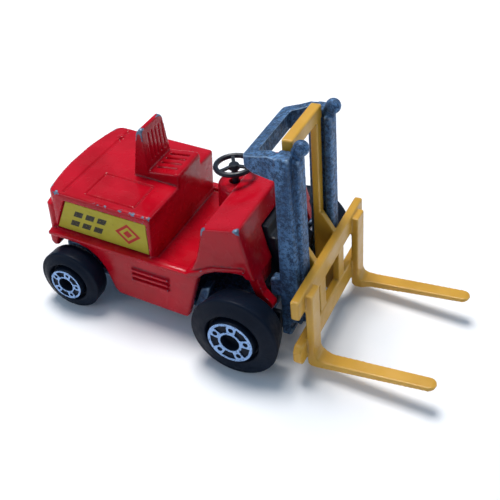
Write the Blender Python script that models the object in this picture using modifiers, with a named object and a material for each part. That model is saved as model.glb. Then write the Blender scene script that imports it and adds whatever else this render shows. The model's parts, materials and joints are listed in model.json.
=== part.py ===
"""Toy forklift: a small die-cast truck with a tilting mast and sliding plastic forks.

Lengths are in millimetres in this file and become metres in the meshes.
+X is forward (the forks), +Y is the driver's left and +Z is up. Inside the truck,
x is measured from the front axle and z from the ground the wheels stand on.
"""
import math

import bmesh
import bpy
from mathutils import Matrix, Vector

MM = 0.001

# --- overall layout ---------------------------------------------------------
CENTRE_X = -3.42            # middle of the whole toy, moved to the origin
WHEELBASE = 28.9
FRONT_RADIUS = 6.75
REAR_RADIUS = 5.1
FRONT_INNER_Y = 10.95       # inner faces of the wheels
REAR_INNER_Y = 10.1
FRONT_WIDTH = 4.95          # inner face to hub face
REAR_WIDTH = 3.95
AXLE_RADIUS = 0.65
RUNNING_GAP = 0.3

# --- body casting -----------------------------------------------------------
SIDE_Y = 10.7               # skirts and fenders
HOOD_Y = 10.05              # hood, in from the skirts
HOOD_FRONT_X = -15.35
HOOD_REAR_X = -34.05
HOOD_TOP_Z = 19.15
FLOOR_Z = 12.1
SKIRT_Z = 3.15
BUMPER_REAR_X = -34.9
TAIL_BOW = 0.0135            # how fast the tail falls back to its corners, per mm
WALL = 1.2
SEAT_Y0, SEAT_Y1 = -1.2, 5.8
DASH_REAR_X, DASH_REAR_Z = -6.9, 20.8
DASH_FRONT_X, DASH_FRONT_Z = -1.35, 22.2
OPENING_Y = 4.55            # half width of the opening behind the mast
OPENING_TOP_Z = 19.2
LEG_Y0, LEG_Y1 = 8.35, 9.9  # the two front legs of the casting
LEG_OPENING_Z = 14.1

# --- steering wheel ---------------------------------------------------------
COLUMN_X, COLUMN_Y = -7.95, 2.3
COLUMN_TILT = math.radians(6.0)
STEER_Z = 23.0
STEER_RADIUS = 2.72
STEER_TUBE = 0.41
BOSS_RADIUS = 3.1
BOSS_TOP_Z = 20.3
STEM_RADIUS = 0.5

# --- base plate and rivets --------------------------------------------------
BASE_Y = 9.15
BASE_NARROW_Y = 8.1         # beside the wheels
BASE_Z0, BASE_Z1 = 3.6, 4.7
BASE_X0, BASE_X1 = -31.2, 1.8
RIVETS = ((-23.5, 18.2), (-12.0, 10.8))   # x of each rivet and the top of its post

# --- mast frame: origin on the tilt pin, leaning back -----------------------
PIVOT_X, PIVOT_Z = 3.4, 12.2
MAST_LEAN = math.radians(5.0)
PIN_RADIUS = 0.45
PIN_HALF = 7.1
UPRIGHT_Y0, UPRIGHT_Y1 = 5.5, 8.05
UPRIGHT_BOTTOM, UPRIGHT_TOP = -9.1, 21.0
FLANGE_TOP = 20.5
GUARD_REAR_X = -4.1

# --- fork carriage, in the mast frame ---------------------------------------
INNER_Y0, INNER_Y1 = 3.3, 4.9
INNER_X0, INNER_X1 = 1.35, 2.4
INNER_TOP = 22.2
BAR_X0, BAR_X1 = 4.3, 5.6
BAR_Y = 13.1
UPPER_BAR = (-0.75, 2.45)
LOWER_BAR = (-9.6, -6.0)
TINE_Y0, TINE_Y1 = 7.95, 10.8
TINE_TIP_X = 23.9


# --- small modelling helpers ------------------------------------------------
def clear_scene():
    for obj in list(bpy.data.objects):
        bpy.data.objects.remove(obj, do_unlink=True)


def new_collection(name):
    group = bpy.data.collections.new(name)
    bpy.context.scene.collection.children.link(group)
    return group


def paint(name, colour, roughness, metallic=0.0):
    mat = bpy.data.materials.new(name)
    mat.use_nodes = True
    shader = mat.node_tree.nodes["Principled BSDF"]
    shader.inputs["Base Color"].default_value = (*colour, 1.0)
    shader.inputs["Roughness"].default_value = roughness
    shader.inputs["Metallic"].default_value = metallic
    mat.diffuse_color = (*colour, 1.0)
    return mat


def empty(name, location, parent=None, rotation=(0.0, 0.0, 0.0)):
    obj = bpy.data.objects.new(name, None)
    obj.location = Vector(location) * MM
    obj.rotation_euler = rotation
    obj.parent = parent
    PARTS.objects.link(obj)
    return obj


def place(name, mesh, parent, mat=None, location=(0, 0, 0), rotation=(0.0, 0.0, 0.0)):
    """An object in metres; without a material it is a helper for a Boolean."""
    obj = bpy.data.objects.new(name, mesh)
    obj.location = Vector(location) * MM
    obj.rotation_euler = rotation
    obj.parent = parent
    if mat is None:
        CUTTERS.objects.link(obj)
        obj.hide_render = True
        obj.display_type = "WIRE"
    else:
        PARTS.objects.link(obj)
        mesh.materials.append(mat)
    return obj


def mesh_from(bm, name):
    bmesh.ops.recalc_face_normals(bm, faces=bm.faces)
    if bm.calc_volume(signed=True) < 0.0:
        bmesh.ops.reverse_faces(bm, faces=bm.faces)
    mesh = bpy.data.meshes.new(name)
    bm.to_mesh(mesh)
    bm.free()
    return mesh


def box(lo, hi):
    bm = bmesh.new()
    bmesh.ops.create_cube(bm, size=1.0)
    lo, hi = Vector(lo) * MM, Vector(hi) * MM
    for vert in bm.verts:
        vert.co = Vector((l + (h - l) * (c + 0.5) for l, h, c in zip(lo, hi, vert.co)))
    return mesh_from(bm, "box")


AXIS_TURN = {"X": Matrix.Rotation(math.pi / 2, 4, "Y"),
             "Y": Matrix.Rotation(-math.pi / 2, 4, "X"),
             "Z": Matrix.Identity(4)}


def rod(radius, start, end, axis="Z", at=(0, 0, 0), sides=24, end_radius=None):
    """A round bar along an axis, from start to end on it."""
    bm = bmesh.new()
    bmesh.ops.create_cone(bm, cap_ends=True, segments=sides, radius1=radius * MM,
                          radius2=(end_radius or radius) * MM, depth=(end - start) * MM)
    bmesh.ops.translate(bm, verts=bm.verts, vec=(0, 0, (start + end) / 2 * MM))
    bmesh.ops.transform(bm, matrix=AXIS_TURN[axis], verts=bm.verts)
    bmesh.ops.translate(bm, verts=bm.verts, vec=Vector(at) * MM)
    return mesh_from(bm, "rod")


def plate(outlines, lo, hi, normal="Z"):
    """Flat outlines made solid between lo and hi along their normal.

    Points are (x, y) for Z, (x, z) for Y and (y, z) for X. Outlines after the
    first are holes.
    """
    curve = bpy.data.curves.new("outline", "CURVE")
    curve.dimensions = "2D"
    curve.fill_mode = "BOTH"
    curve.extrude = (hi - lo) / 2 * MM
    for points in outlines:
        spline = curve.splines.new("POLY")
        spline.points.add(len(points) - 1)
        spline.use_cyclic_u = True
        for point, (u, v) in zip(spline.points, points):
            point.co = (u * MM, v * MM, 0.0, 1.0)
    guide = bpy.data.objects.new("outline", curve)
    bpy.context.scene.collection.objects.link(guide)
    bpy.context.view_layer.update()
    mesh = bpy.data.meshes.new_from_object(guide.evaluated_get(bpy.context.evaluated_depsgraph_get()))
    bpy.data.objects.remove(guide, do_unlink=True)
    bpy.data.curves.remove(curve)
    bm = bmesh.new()
    bm.from_mesh(mesh)
    bpy.data.meshes.remove(mesh)
    bmesh.ops.remove_doubles(bm, verts=bm.verts, dist=1e-6)
    bmesh.ops.dissolve_limit(bm, angle_limit=0.001, verts=bm.verts, edges=bm.edges)
    middle = (lo + hi) / 2 * MM
    for vert in bm.verts:
        u, v, w = vert.co
        w += middle
        vert.co = {"Z": (u, v, w), "Y": (u, w, v), "X": (w, u, v)}[normal]
    return mesh_from(bm, "plate")


def arc(cx, cy, radius, start, end, count):
    """Points on an arc; angles in degrees."""
    steps = [math.radians(start + (end - start) * i / count) for i in range(count + 1)]
    return [(cx + radius * math.cos(a), cy + radius * math.sin(a)) for a in steps]


def mirrored(half):
    """Close a half outline, given from the axis outwards at +Y, with its mirror at -Y."""
    return half + [(x, -y) for x, y in reversed(half)]


def soften(obj, width, segments=2, angle=40.0):
    mod = obj.modifiers.new("Bevel", "BEVEL")
    mod.width = width * MM
    mod.segments = segments
    mod.limit_method = "ANGLE"
    mod.angle_limit = math.radians(angle)
    return obj


def combine(target, other, operation):
    mod = target.modifiers.new(other.name, "BOOLEAN")
    mod.operation = operation
    mod.object = other
    mod.solver = "EXACT"


def add(target, *helpers):
    for helper in helpers:
        combine(target, helper, "UNION")


def cut(target, *helpers):
    for helper in helpers:
        combine(target, helper, "DIFFERENCE")


def smooth(obj, angle=35.0):
    obj.data.shade_smooth()
    obj.data.set_sharp_from_angle(angle=math.radians(angle))
    return obj


def turned(name, profile, parent, mat, location, rotation, steps):
    """A profile of (radius, height) points, from top to bottom, turned about Z."""
    mesh = bpy.data.meshes.new(name)
    verts = [(r * MM, 0.0, h * MM) for r, h in profile]
    mesh.from_pydata(verts, [(i, i + 1) for i in range(len(verts) - 1)], [])
    obj = place(name, mesh, parent, mat, location, rotation)
    screw = obj.modifiers.new("Screw", "SCREW")
    screw.axis = "Z"
    screw.steps = screw.render_steps = steps
    screw.use_merge_vertices = True
    screw.merge_threshold = 0.00001
    return obj


# --- body casting -----------------------------------------------------------
def body_side_outline():
    """Skirts, wheel arches, footwell, dash and front wall, seen from the side."""
    rear_tab = [(-33.3, FLOOR_Z), (-33.3, 9.7), (-32.7, 9.1), (-31.9, 9.3), (-31.6, 10.9)]
    rear_arch = [(-28.7, 10.9), (-26.5, 10.3), (-24.95, 9.2), (-23.8, 7.65), (-23.05, 5.8)]
    skirt = [(-22.4, 3.9), (-21.6, SKIRT_Z), (-9.9, SKIRT_Z - 0.35), (-9.5, 3.3)]
    front_arch = [(-7.6, 11.4), (-6.6, 12.6), (-4.9, 13.6), (-2.6, 14.3), (-0.5, 14.6)]
    leg = [(0.2, 13.1), (1.1, 11.1), (3.0, 9.15), (3.85, 9.25), (3.8, 10.2), (2.3, 11.6), (0.6, 15.9)]
    dash = [(DASH_FRONT_X, DASH_FRONT_Z), (DASH_REAR_X, DASH_REAR_Z),
            (-7.1, 18.8), (-7.5, 16.6), (-7.9, 14.9), (-8.6, 13.2), (-9.5, FLOOR_Z)]
    return rear_tab + rear_arch + skirt + front_arch + leg + dash


def rear_plan(half_width, rear_x, front_x, corner):
    """Outline from above: a bowed tail with rounded corners and a square front."""
    side = half_width - corner
    bow = [(rear_x + TAIL_BOW * (side * t) ** 2, side * t) for t in (0.25, 0.5, 0.75, 1.0)]
    start_x, start_y = bow[-1]
    return mirrored(bow + arc(start_x + corner, start_y, corner, 150, 90, 3) + [(front_x, half_width)])


def seat_back_outline():
    """Front view (y, z) of the seat back, wide at the cushion, with rounded top corners."""
    return [(SEAT_Y0, 17.6), (SEAT_Y1, 17.6), (5.6, 20.6), *arc(3.4, 26.0, 1.45, 15, 90, 3),
            *arc(-0.6, 26.7, 0.7, 90, 180, 3)]


def label_outline():
    return [(-32.0, 12.45), (-16.1, 12.3), (-16.3, 17.7), (-29.9, 17.7)]


def recess_outline():
    (x0, z0), (x1, z1), (x2, z2), (x3, z3) = label_outline()
    grow = 0.2
    return [(x0 - grow, z0 - grow), (x1 + grow, z1 - grow), (x2 + grow, z2 + grow), (x3 - grow, z3 + grow)]


def seat_helpers(parent):
    cushion = place("seat_cushion", plate([[(-22.0, 18.0), (-22.0, 20.2), (-15.8, 21.2),
                                            (HOOD_FRONT_X, 20.8), (HOOD_FRONT_X, 18.0)]],
                                          SEAT_Y0, SEAT_Y1, "Y"), parent)
    wedge = place("seat_back", plate([[(-23.25, 17.6), (-22.0, 26.8), (-21.6, 27.4), (-21.1, 27.3),
                                       (-20.25, 17.6)]], SEAT_Y0 - 0.1, SEAT_Y1 + 0.1, "Y"), parent)
    combine(wedge, place("seat_back_front_view", plate([seat_back_outline()], -25.0, -18.0, "X"), parent),
            "INTERSECT")
    return soften(cushion, 0.25, 1), soften(wedge, 0.25, 1)


def louvre_helpers(parent):
    ribs = []
    for side in (-1, 1):
        for level in (7.2, 8.15, 9.1):
            ribs.append(soften(place("louvre", box((-18.8, side * (SIDE_Y + 0.05) - 0.25, level),
                                                   (-12.4, side * (SIDE_Y + 0.05) + 0.25, level + 0.6)),
                                     parent), 0.12, 1))
    return ribs


def make_body(parent):
    body = place("body_casting", plate([body_side_outline()], -SIDE_Y, SIDE_Y, "Y"), parent, RED)
    soften(body, 0.35, 2, 60.0)
    hood = soften(place("hood", plate([rear_plan(HOOD_Y, HOOD_REAR_X, HOOD_FRONT_X, 1.6)],
                                      11.0, HOOD_TOP_Z), parent), 0.5)
    bumper = soften(place("bumper", plate([rear_plan(HOOD_Y - 0.15, BUMPER_REAR_X, -32.6, 1.0)],
                                          11.2, 16.4), parent), 0.7, 3)
    boss = place("column_boss", rod(BOSS_RADIUS, FLOOR_Z, BOSS_TOP_Z, at=(COLUMN_X + 0.8, COLUMN_Y, 0)),
                 parent)
    add(body, hood, bumper, *seat_helpers(parent), soften(boss, 0.3, 1), *louvre_helpers(parent))
    for side in (-1, 1):
        recess = place("label_recess", plate([recess_outline()], side * HOOD_Y - 0.45,
                                             side * HOOD_Y + 0.45, "Y"), parent)
        cut(body, recess)
    well = place("footwell", box((-15.2, -9.5, FLOOR_Z - 0.55), (-9.6, 9.5, FLOOR_Z + 0.5)), parent)
    cavity = place("cavity", plate([[(-31.9, 2.0), (-31.9, 17.8), (-16.6, 17.8), (-16.4, 10.2),
                                     (-8.4, 10.2), (-5.6, 18.0), (-5.6, 19.4), (-2.3, 20.2),
                                     (-0.6, 15.5), (0.1, 12.9), (1.0, 2.0)]],
                                   -SIDE_Y + WALL, SIDE_Y - WALL, "Y"), parent)
    cut(body, well, cavity)
    opening = place("mast_opening", box((-2.5, -OPENING_Y, 7.0), (5.0, OPENING_Y, OPENING_TOP_Z)), parent)
    leg_gap = place("leg_gap", box((1.25, -LEG_Y0, 7.0), (5.5, LEG_Y0, LEG_OPENING_Z)), parent)
    cut(body, opening, leg_gap)
    for side in (-1, 1):
        outer = side * (LEG_Y1 + 1.5)
        clear = place("wheel_clearance", box((-0.3, outer - 1.5, 7.0), (5.5, outer + 1.5, 14.2)), parent)
        cut(body, clear)
    for x, top in RIVETS:
        add(body, place("rivet_post", rod(2.0, BASE_Z1 + RUNNING_GAP, top, at=(x, 0, 0)), parent))
    for x, _ in RIVETS:
        cut(body, place("rivet_bore", rod(1.05, 2.0, 9.0, at=(x, 0, 0), sides=16), parent))
    stem_hole = rod(STEM_RADIUS + 0.3, -4.4, 3.0, sides=16)
    cut(body, place("stem_hole", stem_hole, parent, None, (COLUMN_X, COLUMN_Y, STEER_Z - 2.0),
                    (0.0, -COLUMN_TILT, 0.0)))
    return smooth(body)


def make_labels(parent):
    for name, side in (("label_right", -1), ("label_left", 1)):
        inner = HOOD_Y - 0.45 + 0.06
        lo, hi = sorted((side * inner, side * (inner + 0.14)))
        place(name, plate([label_outline()], lo, hi, "Y"), parent, PAPER)


# --- base plate, rivets, axles ----------------------------------------------
def make_base(parent):
    """Flat plate, narrower beside the wheels, with blocks for the axles and two low wings."""
    plan = mirrored([(BASE_X0, BASE_NARROW_Y), (-23.0, BASE_NARROW_Y), (-22.0, BASE_Y), (-10.2, BASE_Y),
                     (-9.2, BASE_NARROW_Y + 0.1), (BASE_X1, BASE_NARROW_Y + 0.1)])
    base = place("base_plate", plate([plan], BASE_Z0, BASE_Z1), parent, ZINC)
    for side in (-1, 1):
        y0, y1 = sorted((side * (BASE_NARROW_Y - 1.0), side * (BASE_Y - 0.05)))
        wing = [(-9.3, 3.9), (-8.1, 8.0), (-6.55, 8.8), (-7.3, 5.5), (-7.7, 3.9)]
        add(base,
            place("front_bearer", box((-1.7, y0, BASE_Z0 + 0.1), (0.7, y1, 8.8)), parent),
            place("rear_bearer", box((-31.5, y0, BASE_Z0 + 0.1), (-26.8, y1, 9.2)), parent),
            place("side_wing", plate([wing], y0, y1, "Y"), parent))
    for x, z in ((0.0, FRONT_RADIUS), (-WHEELBASE, REAR_RADIUS)):
        cut(base, place("axle_bore", rod(AXLE_RADIUS + RUNNING_GAP, -12, 12, "Y", (x, 0, z), 16), parent))
    for x, _ in RIVETS:
        cut(base, place("rivet_clearance", rod(1.05, 2.0, 6.0, at=(x, 0, 0), sides=16), parent))
    smooth(base)


def make_rivets(parent):
    for name, (x, _) in zip(("base_rivet_rear", "base_rivet_front"), RIVETS):
        profile = [(0.0, 8.4), (0.6, 8.4), (0.75, 8.2), (0.75, 3.3), (1.75, 3.3), (1.75, 3.05),
                   (1.3, 2.75), (0.0, 2.75)]
        smooth(turned(name, profile, parent, STEEL, (x, 0, 0), (0, 0, 0), 16))


def make_bracket(parent):
    """Black insert that fills the front opening and carries the tilt pin."""
    side_view = [(-0.9, 5.0), (-0.9, 18.9), (0.3, 18.9), (0.75, 17.2), (1.6, 17.2), (1.9, 15.4),
                 (2.9, 15.4), (3.3, 13.9), (4.3, 13.2), (4.3, 11.0), (3.4, 9.6), (2.2, 8.9), (2.2, 5.0)]
    bracket = place("mast_bracket", plate([side_view], -4.2, 4.2, "Y"), parent, BLACK)
    add(bracket, place("cross_plate", box((1.0, -9.05, 5.1), (2.1, 9.05, 8.45)), parent))
    for side in (-1, 1):
        y0, y1 = sorted((side * LEG_Y0, side * 9.0))
        ear = [(1.1, 4.9), (1.9, 2.9), (3.6, 2.8), (4.4, 3.8), (4.9, 5.3), (4.7, 8.3), (1.1, 8.3)]
        add(bracket, place("ear", plate([ear], y0, y1, "Y"), parent))
    cut(bracket, place("pin_bore", rod(PIN_RADIUS + RUNNING_GAP, -6, 6, "Y", (PIVOT_X, 0, PIVOT_Z), 16),
                       parent))
    cut(bracket, place("axle_room", rod(AXLE_RADIUS + RUNNING_GAP, -6, 6, "Y", (0, 0, FRONT_RADIUS), 16),
                       parent))
    smooth(bracket)


def make_pin(name, parent, mat, radius, half, location):
    body = [(0.0, half), (radius - 0.1, half), (radius, half - 0.1), (radius, -half + 0.1),
            (radius - 0.1, -half), (0.0, -half)]
    return smooth(turned(name, body, parent, mat, location, (math.pi / 2, 0, 0), 16))


# --- wheels -----------------------------------------------------------------
def wheel_profile(radius, width, hub, hole, taper):
    """(radius, height) from the hub recess on the outside round to the blind bore."""
    shoulder = width - 0.75
    bore = AXLE_RADIUS + RUNNING_GAP
    depth = width - 2.1
    return [(0.0, width - 1.2), (hole, width - 1.2), (hole, width), (hub, width),
            (hub + 0.05, width - 1.5), (hub + 0.5, width - 1.5), (hub + 0.7, width - 0.35),
            (radius - 0.4, shoulder), (radius - 0.1, shoulder - 0.1), (radius, shoulder - 0.35),
            (radius - taper, 0.6), (radius - taper - 0.4, 0.0), (bore, 0.0), (bore, depth), (0.0, depth)]


def foil_outlines(hub, hole, phase):
    """A thin rim and centre ring joined by five small rings, with windows between them."""
    middle = (hub + hole) / 2
    ring = hub - hole
    rim, inner = hub - ring * 0.19, hole + ring * 0.18
    outlines = [arc(0, 0, hub, 0, 350, 35), arc(0, 0, hole, 0, 345, 23)]
    for i in range(5):
        a = math.radians(72 * i + phase)
        outlines.append(arc(middle * math.cos(a), middle * math.sin(a), ring * 0.21, 0, 320, 8))
        window = []
        for reach, spread in ((inner, -18), (rim, -21), (rim, 0), (rim, 21), (inner, 18), (inner, 0)):
            b = a + math.radians(36 + spread)
            window.append((reach * math.cos(b), reach * math.sin(b)))
        outlines.append(window)
    return outlines


def make_wheel(name, parent, x, side, radius, inner_y, width, hub, hole, phase, taper):
    rotation = (math.pi / 2 if side < 0 else -math.pi / 2, 0.0, 0.0)
    centre = empty(name + "_centre", (x, side * inner_y, radius), parent, rotation)
    profile = wheel_profile(radius, width, hub, hole, taper)
    smooth(turned(name, profile, centre, TYRE, (0, 0, 0), (0, 0, 0), 36))
    foil = plate(foil_outlines(hub - 0.05, hole + 0.05, phase), width + 0.05, width + 0.17)
    place(name.replace("wheel", "hub_foil"), foil, centre, FOIL)


def make_wheels(parent):
    for side, word in ((-1, "right"), (1, "left")):
        make_wheel("wheel_front_" + word, parent, 0.0, side, FRONT_RADIUS, FRONT_INNER_Y,
                   FRONT_WIDTH, 3.5, 1.45, 14, 0.75)
        make_wheel("wheel_rear_" + word, parent, -WHEELBASE, side, REAR_RADIUS, REAR_INNER_Y,
                   REAR_WIDTH, 2.68, 1.2, 3, 0.1)


# --- steering wheel ---------------------------------------------------------
def make_steering_wheel(parent):
    axis = empty("steering_axis", (COLUMN_X, COLUMN_Y, STEER_Z), parent, (0.0, -COLUMN_TILT, 0.0))
    bm = bmesh.new()
    section = bmesh.ops.create_circle(bm, segments=8, radius=STEER_TUBE * MM)
    bmesh.ops.transform(bm, matrix=Matrix.Translation((STEER_RADIUS * MM, 0, 0)) @ AXIS_TURN["Y"],
                        verts=section["verts"])
    bmesh.ops.spin(bm, geom=list(bm.verts) + list(bm.edges), cent=(0, 0, 0), axis=(0, 0, 1),
                   angle=2 * math.pi, steps=30, use_merge=True)
    bmesh.ops.remove_doubles(bm, verts=bm.verts, dist=1e-6)
    wheel = place("steering_wheel", mesh_from(bm, "rim"), axis, BLACK)
    for i in range(3):
        spoke = box((0.3, -0.27, -0.2), (STEER_RADIUS, 0.27, 0.14))
        add(wheel, place("spoke", spoke, axis, None, (0, 0, 0), (0, 0, math.radians(120 * i))))
    add(wheel, place("hub", rod(0.95, -0.45, 0.25, sides=20, end_radius=0.7), axis),
        place("stem", rod(STEM_RADIUS, -6.0, 0.0, sides=16), axis))
    smooth(wheel)


# --- mast -------------------------------------------------------------------
def guard_helper(mast):
    """U-shaped guard reaching back over the driver, deeper where it meets the uprights."""
    outer = [(GUARD_REAR_X, 6.3), (GUARD_REAR_X + 0.3, 6.9), (1.4, UPRIGHT_Y1 - 0.05)]
    inner = [(1.4, 6.4), (GUARD_REAR_X + 2.0, 5.4), (GUARD_REAR_X + 1.8, 4.9)]
    guard = place("guard", plate([mirrored(outer + inner)], 17.0, 22.0), mast)
    side_view = [(GUARD_REAR_X - 0.5, 18.7), (GUARD_REAR_X - 0.5, 19.75), (-1.6, 20.45), (-0.2, 20.9),
                 (2.3, 20.9), (2.3, 17.4), (-0.2, 17.5), (-2.4, 17.6), (GUARD_REAR_X + 0.5, 18.15)]
    combine(guard, place("guard_side_view", plate([side_view], -9.0, 9.0, "Y"), mast), "INTERSECT")
    return guard


def upright_helpers(mast, side):
    """Web, front flange, rear lip, pivot lug and knob of one upright."""
    def bar(name, outline, y0, y1, width=0.2):
        y0, y1 = sorted((side * y0, side * y1))
        return soften(place(name, plate([outline], y0, y1, "Y"), mast), width, 1)
    foot = [(0.5, UPRIGHT_BOTTOM), (1.9, UPRIGHT_BOTTOM), *arc(2.95, -7.3, 1.0, 225, 90, 4),
            (3.6, UPRIGHT_BOTTOM + 2.4)]
    web = bar("upright_web", foot + [(2.95, UPRIGHT_TOP), (0.85, UPRIGHT_TOP)], UPRIGHT_Y0, UPRIGHT_Y1)
    flange = bar("upright_flange", [(2.75, -6.9), (4.0, -6.9), (3.9, FLANGE_TOP), (2.75, FLANGE_TOP)],
                 4.6, 6.9)
    lip = bar("upright_lip", [(0.4, -8.9), (1.04, -8.9), (1.04, 19.4), (0.5, 19.4)], 4.6, 5.8, 0.1)
    lug = bar("pivot_lug", [(-0.95, -2.0), (-0.95, 0.8), (-0.5, 1.15), (1.2, 1.15), (1.2, -2.0)], 6.3, 7.9)
    y = side * 5.75
    neck = place("knob_neck", rod(0.8, 19.5, 21.6, at=(3.3, y, 0), sides=16), mast)
    bm = bmesh.new()
    bmesh.ops.create_uvsphere(bm, u_segments=16, v_segments=10, radius=1.1 * MM)
    knob = place("knob", mesh_from(bm, "knob"), mast, None, (3.85, y, 21.75))
    return web, flange, lip, lug, neck, knob


def make_mast(parent):
    mast = empty("mast_pivot", (PIVOT_X, 0, PIVOT_Z), parent, (0.0, -MAST_LEAN, 0.0))
    tie = box((-0.2, -UPRIGHT_Y0 - 0.6, -8.9), (0.9, UPRIGHT_Y0 + 0.6, -7.3))
    casting = place("mast_casting", tie, mast, ZINC)
    for side in (-1, 1):
        add(casting, *upright_helpers(mast, side))
    add(casting, guard_helper(mast))
    cut(casting, place("pin_hole", rod(PIN_RADIUS + 0.2, -7.4, 7.4, "Y", sides=16), mast))
    smooth(casting)
    return mast


# --- fork carriage ----------------------------------------------------------
def tine_helpers(mast, side):
    """One fork: a block in front of the bars, a vertical shank and a flat blade."""
    heel = -11.3
    back, front = BAR_X1 - 0.1, BAR_X1 + 1.0
    side_view = [(BAR_X1 - 0.4, 1.95), (BAR_X1 - 0.4, -1.0), (back, -1.2), (back, heel + 0.5),
                 (back + 0.5, heel), (7.0, heel), (TINE_TIP_X - 0.6, -10.15), (TINE_TIP_X, -9.85),
                 (TINE_TIP_X, -9.6), (TINE_TIP_X - 0.6, -9.45), (9.0, -10.05), (7.6, -10.0),
                 (6.9, -9.7), (front, -9.0), (front, 1.95)]
    y0, y1 = sorted((side * TINE_Y0, side * TINE_Y1))
    tine = soften(place("tine", plate([side_view], y0, y1, "Y"), mast), 0.25, 1)
    inner, outer, middle = TINE_Y0 + 0.55, TINE_Y1 - 0.05, (TINE_Y0 + TINE_Y1 + 0.5) / 2
    taper = [(4.0, TINE_Y0 - 1), (6.9, TINE_Y0 - 1), (7.2, TINE_Y0 + 0.1), (8.6, inner),
             *arc(TINE_TIP_X - 1.05, middle, 1.08, -80, 80, 4), (8.6, outer), (4.0, TINE_Y1 + 1)]
    plan = [(x, side * y) for x, y in taper]
    combine(tine, place("tine_plan", plate([plan], -14.0, 5.0), mast), "INTERSECT")
    return tine


def frame_helpers(mast, side):
    """Inner upright, the bracket web below it and the carriage's vertical member."""
    def slab(name, x_range, y_range, z_range, width=0.0):
        (x0, x1), (z0, z1) = x_range, z_range
        y0, y1 = sorted((side * y_range[0], side * y_range[1]))
        obj = place(name, box((x0, y0, z0), (x1, y1, z1)), mast)
        return soften(obj, width, 1) if width else obj
    upright = slab("inner_upright", (INNER_X0, INNER_X1), (INNER_Y0, INNER_Y1), (-9.2, INNER_TOP - 0.5), 0.12)
    y0, y1 = sorted((side * INNER_Y0, side * (INNER_Y0 + 1.0)))
    web_view = [(INNER_X0 + 0.2, 5.4), (INNER_X1 + 0.3, 5.4), (BAR_X0 + 0.3, 2.3),
                (BAR_X0 + 0.3, -9.1), (INNER_X0 + 0.2, -8.2)]
    web = place("bracket_web", plate([web_view], y0, y1, "Y"), mast)
    member = slab("vertical_member", (BAR_X0 + 0.1, BAR_X1 - 0.15), (2.7, 4.9), (-7.0, 0.5))
    return upright, web, member


def make_carriage(mast):
    lo, hi = UPPER_BAR
    upper = box((BAR_X0, -BAR_Y, lo), (BAR_X1, BAR_Y, hi))
    carriage = soften(place("fork_carriage", upper, mast, YELLOW), 0.2, 1)
    lo, hi = LOWER_BAR
    half = [(BAR_Y - 0.7, lo), (BAR_Y + 0.15, lo + 1.1), (BAR_Y + 0.15, hi - 0.9), (BAR_Y - 0.5, hi)]
    ends = half + [(-y, z) for y, z in reversed(half)]
    add(carriage, soften(place("lower_bar", plate([ends], BAR_X0, BAR_X1 - 0.03, "X"), mast), 0.2, 1))
    for side in (-1, 1):
        add(carriage, *frame_helpers(mast, side), tine_helpers(mast, side))
    crossbar = box((0.85, -5.2, INNER_TOP - 2.1), (2.45, 5.2, INNER_TOP))
    add(carriage, soften(place("crossbar", crossbar, mast), 0.25, 2))
    smooth(carriage)


# --- build ------------------------------------------------------------------
clear_scene()
PARTS = new_collection("toy_forklift")
CUTTERS = new_collection("cutters")
RED = paint("red_enamel", (0.52, 0.012, 0.03), 0.28)
BLACK = paint("black_plastic", (0.012, 0.014, 0.02), 0.4)
TYRE = paint("tyre_plastic", (0.01, 0.014, 0.025), 0.45)
FOIL = paint("silver_foil", (0.6, 0.68, 0.8), 0.25, 1.0)
PAPER = paint("yellow_label", (0.5, 0.42, 0.06), 0.6)
STEEL = paint("axle_steel", (0.45, 0.46, 0.48), 0.35, 1.0)
ZINC = paint("bare_zinc", (0.2, 0.27, 0.36), 0.5, 0.8)
YELLOW = paint("yellow_plastic", (0.72, 0.4, 0.06), 0.4)

truck = empty("truck", (-CENTRE_X, 0, 0))
make_body(truck)
make_labels(truck)
make_base(truck)
make_rivets(truck)
make_bracket(truck)
make_pin("front_axle", truck, STEEL, AXLE_RADIUS, 13.2, (0, 0, FRONT_RADIUS))
make_pin("rear_axle", truck, STEEL, AXLE_RADIUS, 11.6, (-WHEELBASE, 0, REAR_RADIUS))
make_wheels(truck)
make_steering_wheel(truck)
mast_frame = make_mast(truck)
make_pin("tilt_pin", mast_frame, STEEL, PIN_RADIUS, PIN_HALF, (0, 0, 0))
make_carriage(mast_frame)
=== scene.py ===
"""Looks of the toy forklift: fine surfaces, chipped enamel, cast zinc, moulded plastic and foil."""
import json
import math

import bmesh
import bpy
import numpy as np
from mathutils import Matrix, Vector

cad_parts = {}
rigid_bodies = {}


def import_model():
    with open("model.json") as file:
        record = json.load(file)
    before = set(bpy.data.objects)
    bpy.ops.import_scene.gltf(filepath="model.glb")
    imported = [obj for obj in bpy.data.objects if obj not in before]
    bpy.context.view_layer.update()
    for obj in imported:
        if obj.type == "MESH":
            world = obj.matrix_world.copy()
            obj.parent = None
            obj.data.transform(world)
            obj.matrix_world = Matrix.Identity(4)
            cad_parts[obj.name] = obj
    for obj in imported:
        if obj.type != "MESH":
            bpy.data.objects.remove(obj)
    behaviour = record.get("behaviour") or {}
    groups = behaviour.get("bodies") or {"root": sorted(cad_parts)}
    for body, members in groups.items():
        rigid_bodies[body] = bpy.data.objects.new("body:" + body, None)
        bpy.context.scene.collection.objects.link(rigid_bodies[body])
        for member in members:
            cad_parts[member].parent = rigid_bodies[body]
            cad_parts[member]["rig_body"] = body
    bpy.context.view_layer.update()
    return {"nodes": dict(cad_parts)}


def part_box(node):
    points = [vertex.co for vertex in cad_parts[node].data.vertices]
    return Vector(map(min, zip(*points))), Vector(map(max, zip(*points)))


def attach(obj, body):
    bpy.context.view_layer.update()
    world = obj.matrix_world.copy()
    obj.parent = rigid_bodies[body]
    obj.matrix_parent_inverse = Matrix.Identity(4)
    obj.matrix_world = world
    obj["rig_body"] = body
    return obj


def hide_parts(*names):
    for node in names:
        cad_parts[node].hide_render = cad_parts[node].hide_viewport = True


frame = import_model()

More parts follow.
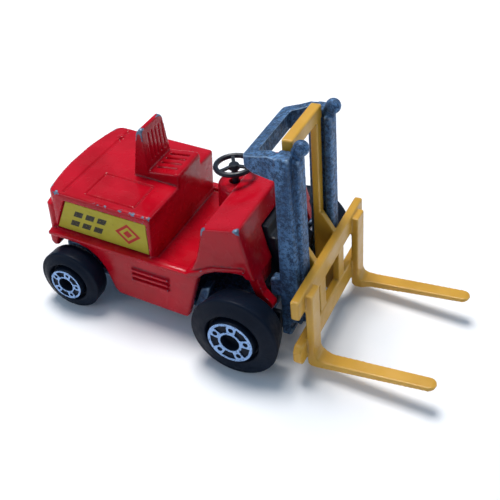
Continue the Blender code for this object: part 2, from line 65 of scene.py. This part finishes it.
MM = 0.001
HOOD_HEIGHT = 16.35               # from the casting's lowest point to the hood's flat top
GROOVE_DEPTH = 0.2                # of the lines engraved on the hood
CLEAR = 1.0                       # how far a cutter stands proud of the face it cuts
CUSHION_RIBS = 4
BACKREST_RIBS = 5
LOUVRE_LEVELS = (7.2, 8.15, 9.1)
AXLE_BORE = 0.95                  # radius of the hole that the axle turns in
WHEEL_STEPS = 120                 # facets round a wheel


def centre(node):
    """The middle of a CAD node's box."""
    low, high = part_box(node)
    return (low + high) / 2


AXLE_X = centre("front_axle").x   # truck places are measured from the front axle


# --- shapes in millimetres --------------------------------------------------
def slab(low, high, turn=0.0):
    """A box, turned about Y through its centre by degrees."""
    bm = bmesh.new()
    bmesh.ops.create_cube(bm, size=1.0)
    low, high = Vector(low), Vector(high)
    size, middle = high - low, (low + high) / 2
    spin = Matrix.Rotation(math.radians(turn), 3, "Y")
    for vert in bm.verts:
        vert.co = spin @ (vert.co * size) + middle
    return bm


def dome(place, radius, height):
    """A ball flattened to a height, with its middle at place."""
    bm = bmesh.new()
    bmesh.ops.create_uvsphere(bm, u_segments=24, v_segments=12, radius=1.0)
    for vert in bm.verts:
        vert.co = vert.co * Vector((radius, radius, height)) + Vector(place)
    return bm


def beam(points, y, width, height):
    """A raised bead along points (x, z) on the side of the truck at y."""
    bm = bmesh.new()
    overlap = 0.3
    for (x0, z0), (x1, z1) in zip(points, points[1:]):
        half = (math.hypot(x1 - x0, z1 - z0) + overlap) / 2
        piece = slab((-half, y - width / 2, -height / 2), (half, y + width / 2, height / 2))
        turn = Matrix.Rotation(math.atan2(z0 - z1, x1 - x0), 4, "Y")
        middle = Vector(((x0 + x1) / 2, 0.0, (z0 + z1) / 2))
        bmesh.ops.transform(piece, matrix=Matrix.Translation(middle) @ turn, verts=piece.verts)
        merge(bm, piece)
    return bm


def merge(target, *others):
    """Adds other meshes to the first and frees them."""
    for other in others:
        mesh = bpy.data.meshes.new("part")
        other.to_mesh(mesh)
        other.free()
        target.from_mesh(mesh)
        bpy.data.meshes.remove(mesh)
    return target


def in_truck(shapes):
    """Shapes joined into one mesh in metres and put in their place on the truck."""
    bm = merge(bmesh.new(), *shapes)
    place = Matrix.Translation((AXLE_X, 0, 0)) @ Matrix.Scale(MM, 4)
    bmesh.ops.transform(bm, matrix=place, verts=bm.verts)
    bmesh.ops.recalc_face_normals(bm, faces=bm.faces)
    return as_mesh(bm, "shapes")


# --- fine surfaces ----------------------------------------------------------
def as_mesh(bm, name):
    """Mesh data from an edit mesh, which is freed."""
    mesh = bpy.data.meshes.new(name)
    bm.to_mesh(mesh)
    bm.free()
    return mesh


def evaluated(obj):
    """The object's mesh after its modifiers."""
    graph = bpy.context.evaluated_depsgraph_get()
    return bpy.data.meshes.new_from_object(obj.evaluated_get(graph))


def show(name, data):
    """An object in the scene that holds a mesh, a light or a camera."""
    obj = bpy.data.objects.new(name, data)
    bpy.context.scene.collection.objects.link(obj)
    return obj


def stand_for(node, name, mesh):
    """Shows a mesh in place of a CAD node, on the node's body."""
    piece = show(name, mesh)
    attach(piece, frame["nodes"][node]["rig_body"])
    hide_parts(node)


def point_values(mesh, name):
    """Coordinates or normals of the points of a mesh, one row for each."""
    values = np.empty(len(mesh.vertices) * 3)
    mesh.vertices.foreach_get(name, values)
    return values.reshape(-1, 3)


def store(mesh, name, values):
    """Keeps one number for each point, for the materials to read."""
    attribute = mesh.attributes.new(name, "FLOAT", "POINT")
    attribute.data.foreach_set("value", values.astype(np.float32))


def curvature_for_wear_and_shade(mesh, spots=(), rounds=7):
    """Stores "edge": 1 on sharp outer edges, below 0 in creases, read for wear and for painted shade in
    creases; and "spot": nearness to worn places.
    """
    count = len(mesh.vertices)
    points = point_values(mesh, "co")
    normals = point_values(mesh, "normal")
    edges = np.empty(len(mesh.edges) * 2, int)
    mesh.edges.foreach_get("vertices", edges)
    a, b = edges.reshape(-1, 2).T
    degree = np.bincount(a, minlength=count) + np.bincount(b, minlength=count)
    soft = points.copy()
    for _ in range(rounds):
        total = np.empty_like(soft)
        for k in range(3):
            total[:, k] = (np.bincount(a, soft[b, k], minlength=count)
                           + np.bincount(b, soft[a, k], minlength=count))
        soft = total / degree[:, None]
    height = ((points - soft) * normals).sum(1)
    height /= np.percentile(height, 99.5)
    store(mesh, "edge", np.clip(height, -1.0, 1.2))
    near = np.zeros(count)
    for place, radius in spots:
        away = np.linalg.norm(points - np.array(place), axis=1) / (radius * MM)
        near = np.maximum(near, np.exp(-away ** 2))
    store(mesh, "spot", near)


def fine_surface(node, material, voxel, rounds, cuts=None, adds=None, spots=()):
    """A close-meshed copy of a CAD node with its small details, which stands for the node."""
    bm = bmesh.new()
    bm.from_mesh(frame["nodes"][node].data)
    bmesh.ops.remove_doubles(bm, verts=bm.verts, dist=1e-6)
    draft = show("draft", as_mesh(bm, node))
    if cuts:
        cutter = show("cutter", cuts)
        boolean = draft.modifiers.new("cuts", "BOOLEAN")
        boolean.operation = "DIFFERENCE"
        boolean.solver = "EXACT"
        boolean.object = cutter
        draft.data = evaluated(draft)
        draft.modifiers.clear()
        bpy.data.objects.remove(cutter)
    if adds:
        bm = bmesh.new()
        bm.from_mesh(draft.data)
        bm.from_mesh(adds)
        bm.to_mesh(draft.data)
        bm.free()
    remesh = draft.modifiers.new("remesh", "REMESH")
    remesh.mode = "VOXEL"
    remesh.voxel_size = voxel * MM
    remesh.use_smooth_shade = True
    relax = draft.modifiers.new("relax", "SMOOTH")
    relax.factor = 0.5
    relax.iterations = rounds
    final = evaluated(draft)
    bpy.data.objects.remove(draft)
    final.materials.clear()
    final.materials.append(material)
    final.shade_smooth()
    curvature_for_wear_and_shade(final, spots)
    stand_for(node, node + "_surface", final)


# --- materials --------------------------------------------------------------
class Paint:
    """A Principled material whose textures are measured in millimetres of the piece."""

    def __init__(self, name):
        self.material = bpy.data.materials.new(name)
        self.material.use_nodes = True
        self.tree = self.material.node_tree
        self.shader = self.tree.nodes["Principled BSDF"]
        coordinates = self.tree.nodes.new("ShaderNodeTexCoord")
        self.place = self.vector("SCALE", coordinates.outputs["Object"], scale=1 / MM)

    def feed(self, socket, value):
        """Links another node to a socket, or sets the socket's own value."""
        if isinstance(value, bpy.types.NodeSocket):
            self.tree.links.new(value, socket)
        elif isinstance(value, tuple) and len(value) == 3 and socket.type == "RGBA":
            socket.default_value = (*value, 1.0)
        else:
            socket.default_value = value

    def vector(self, operation, a, b=None, scale=None):
        """One vector operation."""
        node = self.tree.nodes.new("ShaderNodeVectorMath")
        node.operation = operation
        self.feed(node.inputs[0], a)
        if b is not None:
            self.feed(node.inputs[1], b)
        if scale is not None:
            node.inputs["Scale"].default_value = scale
        return node.outputs[0]

    def math(self, operation, a, b=0.0):
        """One operation on numbers."""
        node = self.tree.nodes.new("ShaderNodeMath")
        node.operation = operation
        self.feed(node.inputs[0], a)
        self.feed(node.inputs[1], b)
        return node.outputs[0]

    def noise(self, per_mm, detail=3.0, roughness=0.55, stretch=(1.0, 1.0, 1.0), shift=0.0):
        """Noise from 0 to 1; shift moves it so that two noises don't match."""
        place = self.vector("MULTIPLY", self.place, stretch)
        place = self.vector("ADD", place, (shift, shift * 0.7, shift * 1.3))
        node = self.tree.nodes.new("ShaderNodeTexNoise")
        self.feed(node.inputs["Vector"], place)
        node.inputs["Scale"].default_value = per_mm
        node.inputs["Detail"].default_value = detail
        node.inputs["Roughness"].default_value = roughness
        return node.outputs["Fac"]

    def attribute(self, name):
        """A number stored on the mesh by curvature_for_wear_and_shade."""
        node = self.tree.nodes.new("ShaderNodeAttribute")
        node.attribute_name = name
        return node.outputs["Fac"]

    def axis(self, letter):
        """One coordinate in millimetres."""
        node = self.tree.nodes.new("ShaderNodeSeparateXYZ")
        self.feed(node.inputs[0], self.place)
        return node.outputs[letter]

    def step(self, value, low, high, start=0.0, end=1.0):
        """A smooth change from start to end as value goes from low to high."""
        node = self.tree.nodes.new("ShaderNodeMapRange")
        node.interpolation_type = "SMOOTHSTEP"
        self.feed(node.inputs["Value"], value)
        node.inputs["From Min"].default_value = low
        node.inputs["From Max"].default_value = high
        node.inputs["To Min"].default_value = start
        node.inputs["To Max"].default_value = end
        return node.outputs["Result"]

    def within(self, value, low, high, blur=0.06):
        """1 where value is between low and high."""
        rise = self.step(value, low - blur, low + blur)
        fall = self.step(value, high - blur, high + blur, 1.0, 0.0)
        return self.math("MULTIPLY", rise, fall)

    def mix(self, factor, a, b):
        """Colour a where factor is 0 and colour b where it is 1."""
        node = self.tree.nodes.new("ShaderNodeMix")
        node.data_type = "RGBA"
        self.feed(node.inputs["Factor"], factor)
        self.feed(node.inputs[6], a)
        self.feed(node.inputs[7], b)
        return node.outputs[2]

    def bump(self, height, depth_mm, normal=None):
        """A normal tilted by a height, on top of another."""
        node = self.tree.nodes.new("ShaderNodeBump")
        node.inputs["Strength"].default_value = 1.0
        node.inputs["Distance"].default_value = depth_mm * MM
        self.feed(node.inputs["Height"], height)
        if normal is not None:
            self.feed(node.inputs["Normal"], normal)
        return node.outputs["Normal"]

    def finish(self, **values):
        """Sets the shader's inputs and returns the material."""
        for name, value in values.items():
            self.feed(self.shader.inputs[name.replace("_", " ")], value)
        return self.material


def enamel():
    """Glossy red enamel with orange peel, painted shade in creases and chips down to the zinc."""
    p = Paint("red_enamel_worn")
    edge, spot = p.attribute("edge"), p.attribute("spot")
    patch = p.noise(0.16, 2.0)
    red = p.mix(p.step(patch, 0.3, 0.7), (0.37, 0.001, 0.008), (0.47, 0.003, 0.014))
    patchy = p.step(p.noise(0.9, 4.0, shift=5.0), 0.3, 0.7)
    # painted shade: creases darkened to a deep red, in patches
    painted_crease_shade = p.math("MULTIPLY", p.step(edge, -0.25, -0.85), patchy)
    red = p.mix(painted_crease_shade, red, (0.10, 0.004, 0.008))
    speck = p.step(p.noise(3.2, 2.0, 0.5, shift=11.0), 0.735, 0.76)
    red = p.mix(speck, red, (0.16, 0.03, 0.04))
    ragged = p.noise(1.3, 5.0, 0.65, shift=3.0)
    worn = p.math("ADD", edge, p.math("MULTIPLY", spot, 0.95))
    worn = p.math("ADD", worn, p.math("MULTIPLY", p.math("SUBTRACT", ragged, 0.5), 2.3))
    chip = p.math("MULTIPLY", p.step(worn, 1.14, 1.19), p.step(edge, 0.08, 0.2))
    metal = p.mix(p.noise(2.5, 3.0), (0.05, 0.08, 0.13), (0.22, 0.30, 0.40))
    peel = p.bump(p.noise(0.9, 2.0, 0.4, shift=2.0), 0.03)
    scratched = p.noise(1.0, 4.0, 0.6, stretch=(0.25, 2.2, 1.2), shift=8.0)
    peel = p.bump(p.step(scratched, 0.66, 0.72, 1.0, 0.0), 0.006, peel)
    peel = p.bump(p.math("SUBTRACT", 1.0, chip), 0.04, peel)
    rough = p.step(p.noise(0.35, 3.0, shift=6.0), 0.3, 0.75, 0.16, 0.36)
    rough = p.math("ADD", rough, p.math("MULTIPLY", chip, 0.25))
    return p.finish(Base_Color=p.mix(chip, red, metal), Metallic=p.math("MULTIPLY", chip, 0.7),
                    Roughness=rough, Normal=peel, Specular_IOR_Level=0.16, Coat_Weight=0.13,
                    Coat_Roughness=0.05)


def zinc():
    """Dull die-cast zinc: a fine sand grain, flow marks, bright rubbed edges and painted shade in creases.
    """
    p = Paint("bare_zinc_cast")
    edge = p.attribute("edge")
    flow = p.noise(0.35, 4.0, 0.6, stretch=(1.0, 1.0, 0.35))
    colour = p.mix(p.step(flow, 0.3, 0.72), (0.030, 0.084, 0.190), (0.100, 0.225, 0.42))
    colour = p.mix(p.step(p.noise(2.0, 5.0, 0.75, shift=4.0), 0.40, 0.60), colour, (0.014, 0.038, 0.084))
    glint = p.step(p.noise(2.7, 4.0, 0.75, shift=12.0), 0.60, 0.72, 0.0, 0.55)
    colour = p.mix(glint, colour, (0.30, 0.47, 0.68))
    colour = p.mix(p.step(edge, 0.35, 0.95, 0.0, 0.6), colour, (0.30, 0.42, 0.56))
    # painted shade: creases darkened to near black
    colour = p.mix(p.step(edge, -0.2, -0.9, 0.0, 0.8), colour, (0.012, 0.02, 0.04))
    grain = p.bump(p.noise(3.0, 4.0, 0.7, shift=1.0), 0.12)
    grain = p.bump(p.noise(0.8, 3.0, 0.6, stretch=(1.0, 1.0, 0.4), shift=7.0), 0.16, grain)
    rough = p.step(p.noise(1.4, 3.0, shift=9.0), 0.3, 0.7, 0.42, 0.66)
    return p.finish(Base_Color=colour, Metallic=0.45, Roughness=rough, Normal=grain)


def yellow_plastic():
    """Deep yellow moulded plastic, a little translucent, with painted shade in its corners."""
    p = Paint("yellow_plastic_moulded")
    edge = p.attribute("edge")
    colour = p.mix(p.step(p.noise(0.12, 3.0), 0.3, 0.7), (0.54, 0.280, 0.022), (0.63, 0.335, 0.036))
    # painted shade: corners darkened to a deep amber, in patches
    painted_corner_shade = p.math("MULTIPLY", p.step(edge, -0.15, -0.8), p.step(p.noise(0.7, 4.0, shift=4.0), 0.25, 0.7))
    colour = p.mix(p.math("MULTIPLY", painted_corner_shade, 0.7), colour, (0.30, 0.13, 0.015))
    smudge = p.step(p.noise(0.5, 5.0, 0.65, shift=9.0), 0.6, 0.8, 0.0, 0.35)
    colour = p.mix(smudge, colour, (0.45, 0.22, 0.04))
    colour = p.mix(p.step(edge, 0.5, 1.0, 0.0, 0.25), colour, (0.85, 0.58, 0.17))
    skin = p.bump(p.noise(1.1, 3.0, shift=2.0), 0.018)
    scratched = p.noise(1.2, 4.0, 0.6, stretch=(0.2, 1.8, 1.8), shift=6.0)
    skin = p.bump(p.step(scratched, 0.68, 0.74, 1.0, 0.0), 0.006, skin)
    rough = p.step(p.noise(0.5, 3.0, shift=3.0), 0.3, 0.7, 0.30, 0.46)
    return p.finish(Base_Color=colour, Roughness=rough, Normal=skin, Subsurface_Weight=0.12,
                    Subsurface_Scale=0.6 * MM, Subsurface_Radius=(1.0, 0.6, 0.2))


def black_plastic():
    """Black moulded plastic with a soft sheen and a little pale dust."""
    p = Paint("black_plastic_moulded")
    edge = p.attribute("edge")
    colour = p.mix(p.noise(0.4, 3.0), (0.003, 0.005, 0.010), (0.007, 0.011, 0.020))
    dust = p.step(p.noise(1.6, 5.0, 0.7, shift=4.0), 0.6, 0.8, 0.0, 0.35)
    colour = p.mix(dust, colour, (0.05, 0.06, 0.08))
    colour = p.mix(p.step(edge, 0.5, 1.0, 0.0, 0.35), colour, (0.05, 0.065, 0.09))
    skin = p.bump(p.noise(2.2, 3.0, shift=2.0), 0.02)
    rough = p.step(p.noise(0.8, 3.0, shift=7.0), 0.3, 0.7, 0.32, 0.5)
    return p.finish(Base_Color=colour, Roughness=rough, Normal=skin, Specular_IOR_Level=0.35)


def tyre_plastic():
    """Hard black tyre with scuffed shoulders and dust on the tread."""
    p = Paint("tyre_plastic_scuffed")
    edge = p.attribute("edge")
    colour = p.mix(p.noise(0.5, 4.0), (0.0025, 0.005, 0.012), (0.005, 0.010, 0.021))
    scuff = p.math("MULTIPLY", p.step(edge, 0.3, 0.9), p.step(p.noise(1.2, 5.0, 0.7, shift=3.0), 0.42, 0.7))
    colour = p.mix(p.math("MULTIPLY", scuff, 0.6), colour, (0.026, 0.036, 0.058))
    dust = p.step(p.noise(2.4, 5.0, 0.7, shift=8.0), 0.6, 0.82, 0.0, 0.25)
    colour = p.mix(dust, colour, (0.018, 0.024, 0.036))
    skin = p.bump(p.noise(2.8, 4.0, 0.6, shift=1.0), 0.03)
    rough = p.step(p.noise(1.0, 4.0, shift=5.0), 0.3, 0.7, 0.36, 0.55)
    return p.finish(Base_Color=colour, Roughness=rough, Normal=skin, Specular_IOR_Level=0.08)


def silver_foil():
    """Hot-stamped silver foil, rubbed through in specks."""
    p = Paint("silver_foil_rubbed")
    colour = p.mix(p.noise(1.2, 3.0), (0.12, 0.24, 0.46), (0.30, 0.44, 0.70))
    rubbed = p.step(p.noise(3.0, 5.0, 0.7, shift=3.0), 0.55, 0.63)
    colour = p.mix(rubbed, colour, (0.03, 0.05, 0.09))
    skin = p.bump(p.noise(4.0, 3.0, 0.6, shift=2.0), 0.02)
    return p.finish(Base_Color=colour, Metallic=p.math("SUBTRACT", 0.85, p.math("MULTIPLY", rubbed, 0.7)),
                    Roughness=p.math("ADD", 0.22, p.math("MULTIPLY", rubbed, 0.3)), Normal=skin)


def axle_steel():
    """Drawn wire with fine marks along it and a tarnish in patches."""
    p = Paint("axle_steel_drawn")
    marks = p.noise(2.0, 4.0, 0.6, stretch=(4.0, 0.2, 4.0))
    colour = p.mix(marks, (0.24, 0.27, 0.31), (0.50, 0.53, 0.57))
    colour = p.mix(p.step(p.noise(0.8, 4.0, shift=4.0), 0.55, 0.75), colour, (0.12, 0.12, 0.13))
    return p.finish(Base_Color=colour, Metallic=0.9, Roughness=p.step(marks, 0.3, 0.7, 0.28, 0.45),
                    Normal=p.bump(marks, 0.01))


def label_paper():
    """Aged yellow sticker with two broken dark stripes and a red diamond."""
    p = Paint("yellow_label_printed")
    low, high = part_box("label_right")
    width, tall = (high.x - low.x) / MM, (high.z - low.z) / MM
    u = p.math("SUBTRACT", p.axis("X"), low.x / MM)
    v = p.math("SUBTRACT", p.axis("Z"), low.z / MM)
    paper = p.mix(p.noise(0.6, 4.0), (0.36, 0.29, 0.018), (0.47, 0.38, 0.035))
    stain = p.step(p.noise(1.3, 5.0, 0.7, shift=5.0), 0.55, 0.8, 0.0, 0.6)
    paper = p.mix(stain, paper, (0.28, 0.20, 0.04))
    slant = p.math("ADD", u, p.math("MULTIPLY", v, -0.45))
    blocks = p.step(p.math("SINE", p.math("MULTIPLY", slant, 3.1)), -0.72, -0.52)
    upper = p.math("MULTIPLY", p.within(v, tall * 0.56, tall * 0.76), p.within(u, 3.12, width * 0.58))
    lower = p.math("MULTIPLY", p.within(v, tall * 0.22, tall * 0.42), p.within(u, 2.3, width * 0.527))
    ink = p.math("MULTIPLY", p.math("MAXIMUM", upper, lower), blocks)
    ink = p.math("MULTIPLY", ink, p.step(p.noise(5.0, 3.0, 0.6, shift=2.0), 0.3, 0.42))
    across = p.math("ABSOLUTE", p.math("SUBTRACT", u, width * 0.79))
    along = p.math("ABSOLUTE", p.math("SUBTRACT", v, tall * 0.5))
    reach = p.math("ADD", p.math("MULTIPLY", across, 0.85), along)
    diamond = p.math("MAXIMUM", p.within(reach, 1.25, 1.85), p.step(reach, 0.62, 0.78, 1.0, 0.0))
    colour = p.mix(diamond, paper, (0.42, 0.02, 0.015))
    colour = p.mix(ink, colour, (0.03, 0.025, 0.02))
    skin = p.bump(p.noise(1.5, 4.0, shift=7.0), 0.02)
    rough = p.step(p.noise(1.0, 3.0), 0.3, 0.7, 0.42, 0.62)
    return p.finish(Base_Color=colour, Roughness=rough, Normal=skin, Specular_IOR_Level=0.2)


# --- pieces -----------------------------------------------------------------
def hood_lines():
    """Cutters for the hood's engraved tail line and hatch, and the small button beside the line."""
    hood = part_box("body_casting")[0].z / MM + HOOD_HEIGHT
    bottom, top = hood - GROOVE_DEPTH, hood + CLEAR
    cuts = [slab((-30.6, -9.4, bottom), (-30.0, 9.0, top))]
    x0, x1, y0, y1, line = -27.2, -18.6, -8.7, -2.9, 0.3
    cuts += [slab((x0, y, bottom), (x1, y + line, top)) for y in (y0, y1)]
    cuts += [slab((x, y0 + line + 0.02, bottom), (x + line, y1 - 0.02, top)) for x in (x0, x1 - line)]
    return cuts, [dome((-30.45, 7.07, hood), 0.55, 0.35)]


def seat_grooves():
    """Cutters for the grooves between the ribs of the cushion and of the backrest."""
    cuts = []
    for i in range(CUSHION_RIBS):
        y = 0.2 + 1.3 * i
        cuts.append(slab((-20.0, y, 20.48), (-16.4, y + 0.45, 21.68), turn=-9.2))
    for i in range(BACKREST_RIBS):
        y = 0.15 + 0.98 * i
        cuts.append(slab((-20.92, y, 21.5), (-19.9, y + 0.42, 26.2), turn=-5.0))
    return cuts


def louvres(side):
    """Three blades in the skirt on one side, each over a slot."""
    cuts, adds = [], []
    blade = sorted((side * 10.3, side * 11.2))
    slot = sorted((side * 10.45, side * 12.0))
    for level in LOUVRE_LEVELS:
        adds.append(slab((-18.7, blade[0], level + 0.05), (-12.5, blade[1], level + 0.5)))
        cuts.append(slab((-18.8, slot[0], level - 0.3), (-12.4, slot[1], level - 0.02)))
    return cuts, adds


def side_bead(side):
    """The raised bead along one side, which climbs over the front wheel arch."""
    ridge = [(-33.0, 11.7), (-9.4, 11.7), (-8.6, 12.3), (-7.1, 13.1), (-6.0, 13.9), (-5.0, 14.45),
             (-0.4, 15.7)]
    return beam(ridge, side * 10.72, 0.75, 0.6)


def body_details():
    """Grooves cut in the body and beads raised on it."""
    cuts, adds = hood_lines()
    cuts += seat_grooves()
    for side in (-1, 1):
        slots, blades = louvres(side)
        cuts += slots
        adds += blades
    adds += [side_bead(side) for side in (-1, 1)]
    return in_truck(cuts), in_truck(adds)


def worn_spots():
    """Places where the enamel is chipped most: (place in metres, radius in millimetres)."""
    spots = [((x, -9.9, 19.0), 0.9) for x in (-31.2, -24.4, -22.7, -20.2, -18.4, -16.2)]
    spots += [((-33.2, -8.8, 18.9), 1.2), ((-21.7, -0.9, 26.8), 1.2), ((-21.3, 4.0, 27.2), 0.9),
              ((-6.9, -10.5, 20.7), 1.3), ((-1.4, -10.5, 22.0), 1.2), ((-1.5, 2.5, 22.1), 1.0),
              ((-15.4, 4.0, 19.0), 1.0), ((-33.0, 8.6, 18.9), 1.2), ((-1.4, 10.4, 22.0), 1.1)]
    return [((AXLE_X + x * MM, y * MM, z * MM), radius) for (x, y, z), radius in spots]


def tyre_profile(radius, width, front):
    """Half of a wheel's section as (distance from the axle, height from its inner face)."""
    hub, hole, taper = (3.5, 1.45, 0.75) if front else (2.68, 1.2, 0.1)
    shoulder, depth = width - 0.75, width - 2.1
    hub_face = [(0.0, width - 1.2), (hole - 0.1, width - 1.2), (hole, width - 1.1), (hole, width - 0.06),
                (hole + 0.06, width), (hub - 0.1, width), (hub, width - 0.1)]
    groove = [(hub + 0.05, width - 1.45), (hub + 0.12, width - 1.5), (hub + 0.45, width - 1.5),
              (hub + 0.55, width - 1.42), (hub + 0.62, width - 0.5), (hub + 0.74, width - 0.38)]
    sidewall = [(hub + 0.9 + (radius - hub - 1.4) * t, width - 0.36 - 0.46 * t ** 1.4)
                for t in (0.0, 0.25, 0.5, 0.75, 1.0)]
    corner = [(radius - 0.38 + 0.38 * math.sin(a), shoulder - 0.42 + 0.34 * math.cos(a))
              for a in (0.3, 0.6, 0.9, 1.2, math.pi / 2)]
    tread = [(radius - taper * (1 - t), 0.6 + (shoulder - 1.02) * t) for t in (0.75, 0.5, 0.25, 0.0)]
    inner = [(radius - taper - 0.12, 0.25), (radius - taper - 0.4, 0.0), (AXLE_BORE + 0.1, 0.0),
             (AXLE_BORE, 0.1), (AXLE_BORE, depth), (0.0, depth)]
    return hub_face + groove + sidewall + corner + tread + inner


def turned_wheel(node, material):
    """A finely turned tyre with a rounded shoulder, a hub boss and a groove round it."""
    low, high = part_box(node)
    side = -1 if centre(node).y < 0 else 1
    radius, width = (high.z - low.z) / 2 / MM, (high.y - low.y) / MM
    bm = bmesh.new()
    verts = [bm.verts.new((r * MM, 0.0, h * MM)) for r, h in tyre_profile(radius, width, "front" in node)]
    edges = [bm.edges.new(pair) for pair in zip(verts, verts[1:])]
    bmesh.ops.spin(bm, geom=verts + edges, cent=(0, 0, 0), axis=(0, 0, 1), angle=2 * math.pi,
                   steps=WHEEL_STEPS, use_merge=True)
    bmesh.ops.remove_doubles(bm, verts=bm.verts, dist=1e-7)
    inner = high.y if side < 0 else low.y
    place = Matrix.Translation((centre(node).x, inner, centre(node).z))
    bmesh.ops.transform(bm, matrix=place @ Matrix.Rotation(-side * math.pi / 2, 4, "X"), verts=bm.verts)
    bmesh.ops.recalc_face_normals(bm, faces=bm.faces)
    mesh = as_mesh(bm, node)
    mesh.materials.append(material)
    mesh.shade_smooth()
    mesh.set_sharp_from_angle(angle=math.radians(50))
    curvature_for_wear_and_shade(mesh, rounds=3)
    stand_for(node, node + "_turned", mesh)


def dress(nodes, material):
    """CAD nodes that keep their shape take a better material."""
    for node in nodes:
        mesh = frame["nodes"][node].data
        mesh.materials.clear()
        mesh.materials.append(material)


def make_pieces():
    """All pieces, in place of their CAD nodes or with a better material on them."""
    cuts, adds = body_details()
    black, metal = black_plastic(), zinc()
    fine = 0.12
    fine_surface("body_casting", enamel(), fine, 3, cuts, adds, worn_spots())
    fine_surface("mast_casting", metal, fine, 3)
    fine_surface("base_plate", metal, 0.2, 2)
    fine_surface("fork_carriage", yellow_plastic(), fine, 3)
    fine_surface("mast_bracket", black, 0.15, 2)
    fine_surface("steering_wheel", black, 0.05, 3)
    tyre = tyre_plastic()
    for node in sorted(frame["nodes"]):
        if node.startswith("wheel_"):
            turned_wheel(node, tyre)
    dress([n for n in frame["nodes"] if n.startswith("hub_foil")], silver_foil())
    dress(["label_right", "label_left"], label_paper())
    dress(["front_axle", "rear_axle", "tilt_pin", "base_rivet_rear", "base_rivet_front"], axle_steel())


# --- stage, light and camera -------------------------------------------------
def make_floor():
    """A wide pale floor with a faint mottle."""
    bm = bmesh.new()
    bmesh.ops.create_grid(bm, x_segments=1, y_segments=1, size=3.0)
    mesh = as_mesh(bm, "floor")
    p = Paint("pale_floor")
    shade = p.mix(p.noise(0.02, 2.0), (0.90, 0.90, 0.90), (0.94, 0.94, 0.94))
    mesh.materials.append(p.finish(Base_Color=shade, Roughness=0.9))
    show("floor", mesh)


def softbox(name, place, target, size, power, colour):
    """A round area light at place, turned to its target."""
    light = bpy.data.lights.new(name, "AREA")
    light.shape = "DISK"
    light.size = size
    light.energy = power
    light.color = colour
    obj = show(name, light)
    obj.location = place
    obj.rotation_mode = "QUATERNION"
    obj.rotation_quaternion = (Vector(target) - Vector(place)).to_track_quat("-Z", "Y")


def make_light():
    """A bluish soft room, a key light overhead, a fill from the near rear and a rim light opposite."""
    world = bpy.data.worlds.new("soft_room")
    world.use_nodes = True
    sky = world.node_tree.nodes["Background"]
    sky.inputs["Color"].default_value = (0.50, 0.72, 1.0, 1.0)
    sky.inputs["Strength"].default_value = 0.38
    bpy.context.scene.world = world
    middle = (0.0, 0.0, 0.012)
    softbox("key", (-0.08, 0.06, 0.34), middle, 0.16, 1.25, (1.0, 0.97, 0.95))
    softbox("fill", (-0.20, -0.26, 0.14), middle, 0.14, 0.17, (0.86, 0.92, 1.0))
    softbox("rim", (0.25, 0.22, 0.18), middle, 0.14, 0.18, (0.9, 0.95, 1.0))


def make_camera():
    """A camera above the near front corner, looking down about 40 degrees."""
    azimuth, elevation = math.radians(24.854), math.radians(39.985)
    back = Vector((math.sin(azimuth) * math.cos(elevation), -math.cos(azimuth) * math.cos(elevation),
                   math.sin(elevation)))
    right = Vector((math.cos(azimuth), math.sin(azimuth), 0.0))
    turn = Matrix((right, back.cross(right), back)).transposed()
    data = bpy.data.cameras.new("camera")
    data.sensor_width = 36.0
    data.lens = 58.687
    data.clip_start = 0.001
    camera = show("camera", data)
    eye = Matrix.Translation((AXLE_X + 35.657 * MM, -86.305 * MM, 89.683 * MM))
    camera.matrix_world = eye @ turn.to_4x4()
    bpy.context.scene.camera = camera
    bpy.context.scene.view_settings.view_transform = "Standard"


make_pieces()
make_floor()
make_light()
make_camera()
